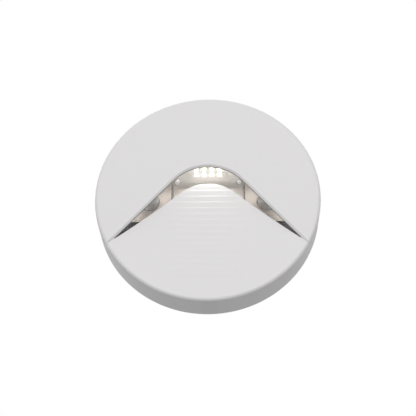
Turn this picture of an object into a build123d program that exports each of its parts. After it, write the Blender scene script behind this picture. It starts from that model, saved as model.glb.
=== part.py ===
"""Round surface-mounted step light with an eyebrow window over a scooped light ramp.

Frame: X runs to the right, Z runs up, and the wall is the plane Y = 0, so the front faces -Y.
The origin is the centre of the face that lies on the wall. Heights in the names below are
distances out from the wall. All sizes are in millimetres and degrees.
"""

from build123d import *
import math
import os

# ---------------------------------------------------------------- casing
casing_radius = 70.0
casing_depth = 23.2
front_wall = 2.2
rim_wall = 2.5
edge_round = 2.0
inner_corner_round = 1.0
tool_overrun = 3.0

# ---------------------------------------------------------------- eyebrow window
eyebrow_top = 21.6
eyebrow_radius = 30.5
eyebrow_fall = 48.0
window_angle = 47.6
window_tool_depth = 13.0
lip_depth = 1.0

# ---------------------------------------------------------------- scooped ramp and its steps
scoop_fall = 6.0
scoop_radius = 575.0
scoop_foot = 68.5
scoop_wall = 2.0
rib_pitch = 4.24
rib_height = 0.18
rib_rise_share = 0.75
rib_start = 13.15
rib_count = 16
rib_half_width = 30.0
rib_root = 0.5

# ---------------------------------------------------------------- lens
lens_thickness = 2.0
lens_gap = 0.15
lens_seat_gap = 0.3
lens_lap = 0.8
lens_gasket_thickness = 0.5

# ---------------------------------------------------------------- back plate, its seal and bosses
recess_depth = 4.5
back_plate_thickness = 2.0
plate_rim_gap = 1.9
seal_rib_wall = 1.6
seal_thickness = 1.0
seal_inset = 0.1
standoff_rise = 2.5
standoff_radius = 2.6
eyebrow_boss_x = 37.2
eyebrow_boss_z = 1.9
eyebrow_boss_radius = 5.7
outer_boss_radius = 4.2
outer_boss_rim_gap = 2.6
upper_boss_angle = 53.5
lower_boss_angle = -52.9
boss_thread_depth = 6.0
boss_root = 1.0

# ---------------------------------------------------------------- screws
screw_radius = 1.5
screw_head_radius = 2.8
screw_head_height = 1.8
screw_reach = 5.0
small_screw_radius = 1.0
small_head_radius = 1.9
small_head_height = 1.2
small_screw_reach = 2.6
plate_screw_reach = 1.4
screw_bevel_share = 0.4
cross_width_share = 0.32
cross_length_share = 1.2
cross_depth_share = 0.6
hole_clearance = 0.2
thread_gap = 0.05
thread_run_out = 0.3

# ---------------------------------------------------------------- wall bracket, side screws, gasket
bracket_thickness = 1.2
bracket_end_gap = 11.1
bracket_half_height = 11.0
bracket_taper = 6.0
bracket_corner = 1.5
ear_half_height = 6.0
ear_gap = 0.4
ear_top = 9.0
ear_hole_clearance = 0.15
wall_slot_spacing = 50.0
wall_slot_length = 12.0
wall_slot_radius = 2.25
side_screw_radius = 2.0
side_screw_height = 5.2
side_screw_inset = 0.3
side_screw_tip = 0.5
socket_radius = 1.0
socket_depth = 2.0
gasket_depth = 0.8
gasket_inset = 0.5

# ---------------------------------------------------------------- lamp unit behind the window
board_setback = 4.6
board_thickness = 1.2
board_half_width = 22.0
board_top = 2.0
board_foot_gap = 0.8
board_screw_x = 20.0
board_screw_inset = 3.2
led_side = 3.2
led_thickness = 0.7
led_pitch = 5.0
led_row_pitch = 3.6
led_columns = 4
led_rows = 2
led_drop = 5.7
led_frame = 0.35
led_well_depth = 0.25
lamp_bracket_thickness = 1.2
lamp_bracket_half_width = 23.0
lamp_bracket_top = 1.5
lamp_bracket_foot = -4.0
lamp_bracket_bend = 1.2
lamp_screw_x = 16.0
lamp_screw_z = 3.0
lamp_lead_hole_radius = 1.4
lamp_lead_hole_drop = 9.5
lamp_lead_hole_x = (10.0, 16.0)

# ---------------------------------------------------------------- reflector tray
tray_thickness = 1.2
tray_rim_gap = 2.5
tray_top = 29.0
tray_bottom = -11.7
tray_notch_gap = 0.6
tray_notch_top = 26.0
tray_boss_gap = 0.6
tray_corner = 2.0
tray_screw_inset = 10.5
tray_screw_z = 15.0

# ---------------------------------------------------------------- driver board and its components
driver_half_width = 26.0
driver_top = -15.5
driver_bottom = -50.0
driver_board_thickness = 1.6
driver_corner = 1.5
driver_screw_inset = 3.5
capacitor_top_gap = 1.5
capacitor_length = 11.0
capacitor_x = -6.0
capacitor_z = -42.0
capacitor_groove_depth = 0.3
capacitor_groove_place = 2.0
capacitor_end_bevel = 0.4
inductor_radius = 4.5
inductor_top_gap = 0.85
inductor_x = -12.0
inductor_z = -26.0
inductor_flange = 0.9
inductor_waist = 1.0
rectifier_length = 6.4
rectifier_width = 4.8
rectifier_height = 2.4
rectifier_x = 13.0
rectifier_z = -40.0
chip_length = 4.9
chip_width = 3.9
chip_height = 1.5
chip_x = 3.0
chip_z = -25.0
package_chamfer = 0.25
fuse_radius = 1.6
fuse_length = 8.0
fuse_x = 13.0
fuse_z = -25.0
fuse_cap_length = 1.6
fuse_cap_step = 0.2

# ---------------------------------------------------------------- terminal block and earth tag
terminal_half_width = 15.0
terminal_half_depth = 5.5
terminal_height = 11.5
terminal_from_grommet = 12.019
terminal_edge = 0.8
terminal_pole_pitch = 9.0
terminal_well_radius = 2.1
terminal_well_depth = 4.0
terminal_entry_radius = 1.0
terminal_screw_radius = 1.9
terminal_screw_height = 2.4
terminal_slot_width = 0.6
terminal_slot_depth = 0.8
terminal_fixing_seat = 3.0
earth_from_boss_x = 9.5
earth_from_boss_z = 6.0
earth_boss_rise = 0.5
earth_screw_reach = 1.8
tag_radius = 3.2
tag_thickness = 0.6
tag_neck_half_width = 1.2
tag_barrel_radius = 1.3
tag_barrel_start = 3.4
tag_barrel_length = 3.6

# ---------------------------------------------------------------- cable grommet and leads
grommet_from_earth_x = 10.5
grommet_from_earth_z = 4.0
grommet_bore = 3.0
grommet_neck_radius = 4.2
grommet_flange_radius = 5.4
grommet_flange = 1.2
grommet_edge = 0.4
lead_radius = 0.8
lead_rise = 1.4
lead_bend_share = 0.45
lead_crimp_gap = 0.05

# ---------------------------------------------------------------- sizes worked out from the above
inner_radius = casing_radius - rim_wall
front_inside = casing_depth - front_wall
plate_back = recess_depth
plate_front = plate_back + back_plate_thickness
plate_radius = inner_radius - plate_rim_gap
seal_rib_radius = plate_radius - seal_rib_wall
seal_top = plate_front + seal_thickness
deck = plate_front + standoff_rise
window_tilt = math.radians(window_angle)
slope_run = math.tan(window_tilt)
lens_outer_offset = lens_gap / math.cos(window_tilt)
lens_inner_offset = lens_outer_offset + lens_thickness / math.cos(window_tilt)
pocket_offset = lens_inner_offset + lens_seat_gap
lens_seat_height = casing_depth - lip_depth
lens_top_height = lens_seat_height - lens_gasket_thickness
lens_end_radius = seal_rib_radius - lens_seat_gap
driver_front = deck + driver_board_thickness
tray_front = deck + tray_thickness
tray_radius = seal_rib_radius - tray_rim_gap
tray_screw_x = tray_radius - tray_screw_inset
lamp_foot_front = plate_front + lamp_bracket_thickness
board_back = board_setback + board_thickness
fold_depth = casing_depth - lamp_foot_front - board_back * math.sin(window_tilt)
fold_drop = fold_depth / math.cos(window_tilt)
board_bottom = fold_drop - board_foot_gap
board_height = board_bottom - board_top
board_middle = (board_top + board_bottom) / 2
board_screw_drop = board_bottom - board_screw_inset
ear_face = inner_radius - ear_gap
bracket_half_length = ear_face - bracket_end_gap
small_pilot_radius = small_screw_radius + thread_gap
small_pilot_depth = small_screw_reach + thread_run_out
terminal_seat = plate_front + terminal_fixing_seat
earth_seat = plate_front + earth_boss_rise
lead_height = plate_front + lead_rise
outer_boss_reach = seal_rib_radius - outer_boss_rim_gap - outer_boss_radius
upper_boss_x = outer_boss_reach * math.cos(math.radians(upper_boss_angle))
upper_boss_z = outer_boss_reach * math.sin(math.radians(upper_boss_angle))
lower_boss_x = outer_boss_reach * math.cos(math.radians(lower_boss_angle))
lower_boss_z = outer_boss_reach * math.sin(math.radians(lower_boss_angle))
boss_places = [
    (eyebrow_boss_x, eyebrow_boss_z, eyebrow_boss_radius),
    (-eyebrow_boss_x, eyebrow_boss_z, eyebrow_boss_radius),
    (upper_boss_x, upper_boss_z, outer_boss_radius),
    (-upper_boss_x, upper_boss_z, outer_boss_radius),
    (lower_boss_x, lower_boss_z, outer_boss_radius),
    (-lower_boss_x, lower_boss_z, outer_boss_radius),
]
earth_x = upper_boss_x - earth_from_boss_x
earth_z = upper_boss_z - earth_from_boss_z
grommet_x = earth_x - grommet_from_earth_x
grommet_z = earth_z - grommet_from_earth_z
terminal_z = grommet_z + terminal_from_grommet
cover_screw_places = [(x, z) for x, z, radius in boss_places]
driver_screw_places = [
    (side * (driver_half_width - driver_screw_inset), z)
    for side in (-1, 1)
    for z in (driver_top - driver_screw_inset, driver_bottom + driver_screw_inset)
]
tray_screw_places = [(-tray_screw_x, tray_screw_z), (tray_screw_x, tray_screw_z)]
lamp_screw_places = [(-lamp_screw_x, lamp_screw_z), (lamp_screw_x, lamp_screw_z)]
standoff_places = driver_screw_places + tray_screw_places
terminal_poles = [(pole * terminal_pole_pitch, terminal_z) for pole in (-1, 0, 1)]
terminal_fixings = [(side * terminal_pole_pitch / 2, terminal_z) for side in (-1, 1)]
board_screw_places = [(-board_screw_x, -board_screw_drop), (board_screw_x, -board_screw_drop)]

os.makedirs("parts", exist_ok=True)


def save(builder, name):
    """Label a finished piece and write it as its own file."""
    builder.part.label = name
    export_step(builder.part, f"parts/{name}.step")


def out_from_wall(height):
    """Sketch plane parallel to the wall: X to the right, Z up, and its normal towards the viewer."""
    return Plane.XZ.offset(height)


# ---------------------------------------------------------------- tools that several pieces share
def below_eyebrow(offset):
    """Everything under the window's sloping face, with the eyebrow line moved up by the offset.

    The face leans in from the front edge, so the outline shrinks at the window's angle.
    """
    start = casing_depth + tool_overrun
    rise = offset + tool_overrun * slope_run
    radius = eyebrow_radius + rise
    centre_z = eyebrow_top - eyebrow_radius
    fall = math.radians(eyebrow_fall)
    knee = (radius * math.sin(fall), centre_z + radius * math.cos(fall))
    reach = casing_radius * 2
    arm_end = (reach, knee[1] - (reach - knee[0]) * math.tan(fall))
    bottom = arm_end[1] - casing_radius
    with BuildPart() as block:
        with BuildSketch(out_from_wall(start)):
            with BuildLine():
                Line((-arm_end[0], arm_end[1]), (-knee[0], knee[1]))
                ThreePointArc((-knee[0], knee[1]), (0, centre_z + radius), knee)
                Line(knee, arm_end)
                Polyline(arm_end, (reach, bottom), (-reach, bottom), (-arm_end[0], arm_end[1]))
            make_face()
        extrude(amount=window_tool_depth + tool_overrun, dir=(0, 1, 0), taper=window_angle)
    return block.part


def in_front_of_scoop(sink):
    """Everything on the viewer's side of the ramp's trough, sunk square to it by the given depth.

    The trough is a wide cylinder whose lowest line falls inwards from the foot of the front face.
    """
    fall = math.radians(scoop_fall)
    radius = scoop_radius + sink
    half_width = casing_radius + tool_overrun
    sag = radius - math.sqrt(radius**2 - half_width**2)
    top = casing_depth * 2
    across = Plane(
        origin=(0, -casing_depth, -scoop_foot),
        x_dir=(1, 0, 0),
        z_dir=(0, -math.sin(fall), -math.cos(fall)),
    )
    with BuildPart() as block:
        with BuildSketch(across):
            with BuildLine():
                ThreePointArc((-half_width, sag - sink), (0, -sink), (half_width, sag - sink))
                Polyline(
                    (half_width, sag - sink), (half_width, top), (-half_width, top), (-half_width, sag - sink)
                )
            make_face()
        extrude(amount=casing_radius * 2.5, both=True)
    return block.part


def under_ramp(z):
    """Height out from the wall of the ramp's underside, on its middle line at the given Z."""
    fall = math.radians(scoop_fall)
    return casing_depth - (scoop_foot + z) * math.tan(fall) - scoop_wall / math.cos(fall)


def slope_point(drop, setback):
    """Y and Z of a point given down the window's face from its lip, and square behind that face."""
    lean = math.cos(window_tilt)
    fall = math.sin(window_tilt)
    return (drop * lean + setback * fall - casing_depth, eyebrow_top - drop * fall + setback * lean)


def facing_window(setback):
    """Sketch plane parallel to the window's face: X to the right, and up its slope from the lip."""
    lean = math.cos(window_tilt)
    fall = math.sin(window_tilt)
    return Plane(origin=(0, *slope_point(0, setback)), x_dir=(1, 0, 0), z_dir=(0, -fall, -lean))


def pan_screws(seat, places, head_radius, head_height, shank_radius, reach):
    """Cross-recessed pan-head screws on one seat, whose plane faces the way that the heads do."""
    with BuildPart() as screws:
        with BuildSketch(seat):
            with Locations(*places):
                Circle(head_radius)
        extrude(amount=head_height)
        head_edges = screws.edges().filter_by(GeomType.CIRCLE).sort_by(Axis(seat.origin, seat.z_dir))
        chamfer(head_edges[-len(places) :], head_height * screw_bevel_share)
        with BuildSketch(seat):
            with Locations(*places):
                Circle(shank_radius)
        extrude(amount=-reach)
        with BuildSketch(seat.offset(head_height)):
            with Locations(*places):
                Rectangle(head_radius * cross_length_share, head_radius * cross_width_share)
                Rectangle(head_radius * cross_width_share, head_radius * cross_length_share)
        extrude(amount=-head_height * cross_depth_share, mode=Mode.SUBTRACT)
    return screws


def lead_tube(name, route):
    """An insulated lead along its route of X, Z and height points, with bends as wide as fit."""
    points = [Vector(x, -height, z) for x, z, height in route]
    runs = [after - before for before, after in zip(points, points[1:])]
    radii = []
    for before, after in zip(runs, runs[1:]):
        half_turn = math.radians(before.get_angle(after)) / 2
        radii.append(lead_bend_share * min(before.length, after.length) / math.tan(half_turn))
    with BuildPart() as lead:
        with BuildLine() as path:
            FilletPolyline(*points, radius=radii)
        with BuildSketch(Plane(origin=path.line @ 0, z_dir=path.line % 0)):
            Circle(lead_radius)
        sweep()
    length = lead.part.volume / (math.pi * lead_radius**2)
    print(name, "length", round(length, 1), "radii", [round(radius, 1) for radius in radii])
    return lead


recess_block = below_eyebrow(0.0)
lens_outer_block = below_eyebrow(lens_outer_offset)
lens_inner_block = below_eyebrow(lens_inner_offset)
pocket_block = below_eyebrow(pocket_offset)
scoop_block = in_front_of_scoop(0.0)
scoop_root_block = in_front_of_scoop(rib_root)
scoop_under_block = in_front_of_scoop(scoop_wall)
lens_foot_block = in_front_of_scoop(scoop_wall + lens_lap)

# ---------------------------------------------------------------- front cover, upper and lower casing
# the flat upper face, rounded at its edge, with the recess taken out of it
with BuildPart() as upper_casing:
    with BuildSketch(out_from_wall(gasket_depth)):
        Circle(casing_radius)
    extrude(amount=casing_depth - gasket_depth)
    fillet(upper_casing.edges().filter_by(GeomType.CIRCLE).sort_by(Axis.Y)[0], edge_round)
    add(recess_block, mode=Mode.SUBTRACT)

# the ramp's side of the casing, whose top is the trough and whose edge is rounded all round
with BuildPart() as lower_casing:
    with BuildSketch(out_from_wall(gasket_depth)):
        Circle(casing_radius)
    extrude(amount=casing_depth - gasket_depth + tool_overrun)
    add(scoop_block, mode=Mode.SUBTRACT)
    scoop_face = lower_casing.faces().sort_by(Axis.Y)[0]
    fillet(scoop_face.outer_wire().edges(), edge_round)
    add(recess_block, mode=Mode.INTERSECT)

# the ramp's own wall is left standing inside the hollow
with BuildPart() as ramp_wall_zone:
    add(recess_block)
    add(scoop_under_block, mode=Mode.INTERSECT)

with BuildPart() as cover_hollow:
    with BuildSketch(out_from_wall(gasket_depth - tool_overrun)):
        Circle(inner_radius)
    extrude(amount=front_inside - gasket_depth + tool_overrun)
    fillet(cover_hollow.edges().filter_by(GeomType.CIRCLE).sort_by(Axis.Y)[0], inner_corner_round)
    add(ramp_wall_zone.part, mode=Mode.SUBTRACT)

# the seat that the lens drops into behind the eyebrow's lip
with BuildPart() as lens_pocket:
    with BuildSketch(out_from_wall(0)):
        Circle(lens_end_radius)
    extrude(amount=lens_seat_height)
    add(pocket_block, mode=Mode.INTERSECT)
    add(recess_block, mode=Mode.SUBTRACT)

# the sealing rib and the screw bosses behind the front wall
with BuildPart() as cover_inside:
    with BuildSketch(out_from_wall(seal_top)):
        Circle(plate_radius)
        Circle(seal_rib_radius, mode=Mode.SUBTRACT)
    extrude(amount=front_inside + boss_root - seal_top)
    for boss_x, boss_z, boss_radius in boss_places:
        with BuildSketch(out_from_wall(plate_front)):
            with Locations((boss_x, boss_z)):
                Circle(boss_radius)
        extrude(amount=front_inside + boss_root - plate_front)
    with BuildPart(mode=Mode.PRIVATE) as ramp_space:
        add(recess_block)
        add(scoop_root_block, mode=Mode.INTERSECT)
    add(ramp_space.part, mode=Mode.SUBTRACT)
    add(lens_pocket.part, mode=Mode.SUBTRACT)
    with BuildSketch(out_from_wall(plate_front)):
        with Locations(*cover_screw_places):
            Circle(screw_radius + thread_gap)
    extrude(amount=boss_thread_depth, mode=Mode.SUBTRACT)

# fine steps across the ramp: each rises towards the window and drops back in its last quarter
up_ramp = Plane(
    origin=(0, -casing_depth, -scoop_foot),
    x_dir=(0, math.sin(math.radians(scoop_fall)), math.cos(math.radians(scoop_fall))),
    z_dir=(1, 0, 0),
)
step_line = [(rib_start, -rib_root)]
for rib in range(rib_count):
    foot = rib_start + rib * rib_pitch
    step_line.append((foot, 0.0))
    step_line.append((foot + rib_rise_share * rib_pitch, rib_height))
step_line.append((rib_start + rib_count * rib_pitch, 0.0))
step_line.append((rib_start + rib_count * rib_pitch, -rib_root))

with BuildPart() as ramp_steps:
    with BuildSketch(up_ramp):
        with BuildLine():
            Polyline(*step_line, close=True)
        make_face()
    extrude(amount=rib_half_width, both=True)
    add(recess_block, mode=Mode.INTERSECT)

with BuildPart() as front_cover:
    add(upper_casing.part)
    add(lower_casing.part)
    add(cover_hollow.part, mode=Mode.SUBTRACT)
    add(lens_pocket.part, mode=Mode.SUBTRACT)
    add(cover_inside.part)
    add(ramp_steps.part)
    with BuildSketch(Plane.YZ):
        with Locations((-side_screw_height, 0)):
            Circle(side_screw_radius + thread_gap)
    extrude(amount=casing_radius + tool_overrun, both=True, mode=Mode.SUBTRACT)
save(front_cover, "front_cover")

# ---------------------------------------------------------------- lens and its gasket
with BuildPart() as window_lens:
    with BuildSketch(out_from_wall(0)):
        Circle(lens_end_radius)
    extrude(amount=lens_top_height)
    add(lens_inner_block, mode=Mode.INTERSECT)
    add(lens_outer_block, mode=Mode.SUBTRACT)
    add(lens_foot_block, mode=Mode.INTERSECT)
save(window_lens, "window_lens")

with BuildPart() as lens_gasket:
    with BuildSketch(out_from_wall(lens_top_height)):
        Circle(lens_end_radius)
    extrude(amount=lens_gasket_thickness)
    add(lens_inner_block, mode=Mode.INTERSECT)
    add(lens_outer_block, mode=Mode.SUBTRACT)
save(lens_gasket, "lens_gasket")

# ---------------------------------------------------------------- back plate, its seal and its screws
with BuildPart() as back_plate:
    with BuildSketch(out_from_wall(plate_back)):
        Circle(plate_radius)
        with Locations(*cover_screw_places):
            Circle(screw_radius + hole_clearance, mode=Mode.SUBTRACT)
        with Locations((grommet_x, grommet_z)):
            Circle(grommet_neck_radius, mode=Mode.SUBTRACT)
    extrude(amount=back_plate_thickness)
    with BuildSketch(out_from_wall(plate_front)):
        with Locations(*standoff_places):
            Circle(standoff_radius)
    extrude(amount=standoff_rise)
    with BuildSketch(out_from_wall(plate_front)):
        with Locations((earth_x, earth_z)):
            Circle(standoff_radius)
    extrude(amount=earth_boss_rise)
    with BuildSketch(out_from_wall(deck)):
        with Locations(*standoff_places):
            Circle(small_pilot_radius)
    extrude(amount=-small_pilot_depth, mode=Mode.SUBTRACT)
    with BuildSketch(out_from_wall(plate_front)):
        with Locations(*terminal_fixings, *lamp_screw_places):
            Circle(small_pilot_radius)
    extrude(amount=-plate_screw_reach - thread_gap, mode=Mode.SUBTRACT)
    with BuildSketch(out_from_wall(earth_seat)):
        with Locations((earth_x, earth_z)):
            Circle(screw_radius + thread_gap)
    extrude(amount=-earth_screw_reach - thread_run_out, mode=Mode.SUBTRACT)
save(back_plate, "back_plate")

with BuildPart() as back_plate_seal:
    with BuildSketch(out_from_wall(plate_front)):
        Circle(plate_radius - seal_inset)
        Circle(seal_rib_radius + seal_inset, mode=Mode.SUBTRACT)
    extrude(amount=seal_thickness)
save(back_plate_seal, "back_plate_seal")

behind_plate = Plane(origin=(0, -plate_back, 0), x_dir=(-1, 0, 0), z_dir=(0, 1, 0))
back_plate_screws = pan_screws(
    behind_plate, cover_screw_places, screw_head_radius, screw_head_height, screw_radius, screw_reach
)
save(back_plate_screws, "back_plate_screws")

# ---------------------------------------------------------------- wall gasket, bracket and side screws
with BuildPart() as wall_gasket:
    with BuildSketch(out_from_wall(0)):
        Circle(casing_radius - gasket_inset)
        Circle(inner_radius, mode=Mode.SUBTRACT)
    extrude(amount=gasket_depth)
save(wall_gasket, "wall_gasket")

bracket_shoulder = bracket_half_length + bracket_taper
with BuildPart() as wall_bracket:
    with BuildSketch(out_from_wall(0)):
        with BuildLine():
            Polyline(
                (0, bracket_half_height),
                (bracket_half_length, bracket_half_height),
                (bracket_shoulder, ear_half_height),
                (ear_face, ear_half_height),
                (ear_face, -ear_half_height),
                (bracket_shoulder, -ear_half_height),
                (bracket_half_length, -bracket_half_height),
                (0, -bracket_half_height),
                close=True,
            )
        make_face()
        mirror(about=Plane.YZ)
        with Locations((-wall_slot_spacing / 2, 0), (wall_slot_spacing / 2, 0)):
            SlotOverall(wall_slot_length, wall_slot_radius * 2, mode=Mode.SUBTRACT)
    extrude(amount=bracket_thickness)
    with BuildSketch(out_from_wall(0)):
        with Locations((bracket_thickness / 2 - ear_face, 0), (ear_face - bracket_thickness / 2, 0)):
            Rectangle(bracket_thickness, ear_half_height * 2)
    extrude(amount=ear_top)
    ear_corners = wall_bracket.edges().filter_by(Axis.X).group_by(Axis.Y)[0]
    fillet(ear_corners, bracket_corner)
    with BuildSketch(Plane.YZ):
        with Locations((-side_screw_height, 0)):
            Circle(side_screw_radius + ear_hole_clearance)
    extrude(amount=casing_radius, both=True, mode=Mode.SUBTRACT)
save(wall_bracket, "wall_bracket")

side_screw_tip_x = ear_face - bracket_thickness
side_screw_end = casing_radius - side_screw_inset
with BuildPart() as side_screws:
    with BuildSketch(Plane.YZ.offset(side_screw_tip_x)):
        with Locations((-side_screw_height, 0)):
            Circle(side_screw_radius)
    extrude(amount=side_screw_end - side_screw_tip_x)
    chamfer(side_screws.edges().filter_by(GeomType.CIRCLE).sort_by(Axis.X)[0], side_screw_tip)
    with BuildSketch(Plane.YZ.offset(side_screw_end)):
        with Locations((-side_screw_height, 0)):
            RegularPolygon(socket_radius, 6)
    extrude(amount=-socket_depth, mode=Mode.SUBTRACT)
    mirror(about=Plane.YZ)
save(side_screws, "side_screws")

# ---------------------------------------------------------------- lamp bracket, board and packages
with BuildPart() as lamp_bracket:
    with BuildSketch(Plane.YZ):
        with BuildLine():
            FilletPolyline(
                slope_point(lamp_bracket_top, board_back),
                slope_point(fold_drop, board_back),
                (-lamp_foot_front, lamp_bracket_foot),
                radius=lamp_bracket_bend,
            )
            offset(amount=lamp_bracket_thickness, side=Side.LEFT)
        make_face()
    extrude(amount=lamp_bracket_half_width, both=True)
    with BuildSketch(out_from_wall(plate_front)):
        with Locations(*lamp_screw_places):
            Circle(small_screw_radius + hole_clearance)
    extrude(amount=lamp_bracket_thickness, mode=Mode.SUBTRACT)
    with BuildSketch(facing_window(board_back)):
        with Locations(*board_screw_places):
            Circle(small_screw_radius + thread_gap)
        with Locations(*[(x, -lamp_lead_hole_drop) for x in lamp_lead_hole_x]):
            Circle(lamp_lead_hole_radius)
    extrude(amount=-lamp_bracket_thickness, mode=Mode.SUBTRACT)
save(lamp_bracket, "lamp_bracket")

lamp_bracket_screws = pan_screws(
    out_from_wall(lamp_foot_front),
    lamp_screw_places,
    small_head_radius,
    small_head_height,
    small_screw_radius,
    lamp_bracket_thickness + plate_screw_reach,
)
save(lamp_bracket_screws, "lamp_bracket_screws")

with BuildPart() as led_board:
    with BuildSketch(facing_window(board_back)):
        with Locations((0, -board_middle)):
            Rectangle(board_half_width * 2, board_height)
        with Locations(*board_screw_places):
            Circle(small_screw_radius + hole_clearance, mode=Mode.SUBTRACT)
    extrude(amount=board_thickness)
save(led_board, "led_board")

led_board_screws = pan_screws(
    facing_window(board_setback),
    board_screw_places,
    small_head_radius,
    small_head_height,
    small_screw_radius,
    board_thickness + lamp_bracket_thickness,
)
save(led_board_screws, "led_board_screws")

led_well = led_side - led_frame * 2
with BuildPart() as led_packages:
    with BuildSketch(facing_window(board_setback)):
        with Locations((0, -led_drop)):
            with GridLocations(led_pitch, led_row_pitch, led_columns, led_rows):
                Rectangle(led_side, led_side)
    extrude(amount=led_thickness)
    with BuildSketch(facing_window(board_setback - led_thickness)):
        with Locations((0, -led_drop)):
            with GridLocations(led_pitch, led_row_pitch, led_columns, led_rows):
                Rectangle(led_well, led_well)
    extrude(amount=-led_well_depth, mode=Mode.SUBTRACT)
save(led_packages, "led_packages")

with BuildPart() as led_phosphors:
    with BuildSketch(facing_window(board_setback - led_thickness)):
        with Locations((0, -led_drop)):
            with GridLocations(led_pitch, led_row_pitch, led_columns, led_rows):
                Rectangle(led_well, led_well)
    extrude(amount=-led_well_depth)
save(led_phosphors, "led_phosphors")

# ---------------------------------------------------------------- reflector tray
tray_height = tray_top - tray_bottom
tray_middle = (tray_top + tray_bottom) / 2
notch_half_width = lamp_bracket_half_width + tray_notch_gap
notch_height = tray_notch_top - tray_bottom
with BuildPart() as reflector_tray:
    with BuildSketch(out_from_wall(deck)) as tray_outline:
        Circle(tray_radius)
        with Locations((0, tray_middle)):
            Rectangle(tray_radius * 2, tray_height, mode=Mode.INTERSECT)
        with Locations((0, tray_bottom + notch_height / 2)):
            Rectangle(notch_half_width * 2, notch_height, mode=Mode.SUBTRACT)
        fillet(tray_outline.vertices(), tray_corner)
        with Locations((-eyebrow_boss_x, eyebrow_boss_z), (eyebrow_boss_x, eyebrow_boss_z)):
            Circle(eyebrow_boss_radius + tray_boss_gap, mode=Mode.SUBTRACT)
        with Locations(*tray_screw_places):
            Circle(small_screw_radius + hole_clearance, mode=Mode.SUBTRACT)
    extrude(amount=tray_thickness)
save(reflector_tray, "reflector_tray")

tray_screws = pan_screws(
    out_from_wall(tray_front),
    tray_screw_places,
    small_head_radius,
    small_head_height,
    small_screw_radius,
    tray_thickness + small_screw_reach,
)
save(tray_screws, "tray_screws")

# ---------------------------------------------------------------- driver board and its components
driver_height = driver_top - driver_bottom
driver_middle = (driver_top + driver_bottom) / 2
with BuildPart() as driver_board:
    with BuildSketch(out_from_wall(deck)):
        with Locations((0, driver_middle)):
            RectangleRounded(driver_half_width * 2, driver_height, driver_corner)
        with Locations(*driver_screw_places):
            Circle(small_screw_radius + hole_clearance, mode=Mode.SUBTRACT)
    extrude(amount=driver_board_thickness)
save(driver_board, "driver_board")

driver_board_screws = pan_screws(
    out_from_wall(driver_front),
    driver_screw_places,
    small_head_radius,
    small_head_height,
    small_screw_radius,
    driver_board_thickness + small_screw_reach,
)
save(driver_board_screws, "driver_board_screws")

capacitor_radius = (under_ramp(capacitor_z) - driver_front - capacitor_top_gap) / 2
capacitor_axis = Axis((0, -driver_front - capacitor_radius, capacitor_z), (1, 0, 0))
capacitor_end = capacitor_x - capacitor_length / 2
groove = capacitor_end + capacitor_groove_place
with BuildPart() as driver_capacitor:
    with BuildSketch(Plane(origin=capacitor_axis.position, x_dir=(1, 0, 0), z_dir=(0, -1, 0))):
        with BuildLine():
            Polyline(
                (capacitor_end, 0),
                (capacitor_end, capacitor_radius),
                (groove - capacitor_groove_depth, capacitor_radius),
                (groove, capacitor_radius - capacitor_groove_depth),
                (groove + capacitor_groove_depth, capacitor_radius),
                (capacitor_end + capacitor_length, capacitor_radius),
                (capacitor_end + capacitor_length, 0),
                close=True,
            )
        make_face()
    revolve(axis=capacitor_axis)
    capacitor_rims = driver_capacitor.edges().filter_by(GeomType.CIRCLE).sort_by(Axis.X)
    chamfer([capacitor_rims[0], capacitor_rims[-1]], capacitor_end_bevel)
save(driver_capacitor, "driver_capacitor")

inductor_height = under_ramp(inductor_z + inductor_radius) - driver_front - inductor_top_gap
with BuildPart() as driver_inductor:
    with BuildSketch(out_from_wall(driver_front)):
        with Locations((inductor_x, inductor_z)):
            Circle(inductor_radius)
    extrude(amount=inductor_height)
    with BuildSketch(out_from_wall(driver_front + inductor_flange)):
        with Locations((inductor_x, inductor_z)):
            Circle(inductor_radius + inductor_waist)
            Circle(inductor_radius - inductor_waist, mode=Mode.SUBTRACT)
    extrude(amount=inductor_height - inductor_flange * 2, mode=Mode.SUBTRACT)
save(driver_inductor, "driver_inductor")

with BuildPart() as driver_rectifier:
    with BuildSketch(out_from_wall(driver_front)):
        with Locations((rectifier_x, rectifier_z)):
            Rectangle(rectifier_length, rectifier_width)
    extrude(amount=rectifier_height)
    chamfer(driver_rectifier.faces().sort_by(Axis.Y)[0].edges(), package_chamfer)
save(driver_rectifier, "driver_rectifier")

with BuildPart() as driver_chip:
    with BuildSketch(out_from_wall(driver_front)):
        with Locations((chip_x, chip_z)):
            Rectangle(chip_length, chip_width)
    extrude(amount=chip_height)
    chamfer(driver_chip.faces().sort_by(Axis.Y)[0].edges(), package_chamfer)
save(driver_chip, "driver_chip")

fuse_bottom = fuse_z - fuse_length / 2
with BuildPart() as driver_fuse:
    with BuildSketch(Plane(origin=(fuse_x, -driver_front - fuse_radius, fuse_bottom))):
        Circle(fuse_radius)
    extrude(amount=fuse_length)
    with BuildSketch(Plane(origin=(fuse_x, -driver_front - fuse_radius, fuse_bottom + fuse_cap_length))):
        Circle(fuse_radius + fuse_cap_step)
        Circle(fuse_radius - fuse_cap_step, mode=Mode.SUBTRACT)
    extrude(amount=fuse_length - fuse_cap_length * 2, mode=Mode.SUBTRACT)
save(driver_fuse, "driver_fuse")

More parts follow.
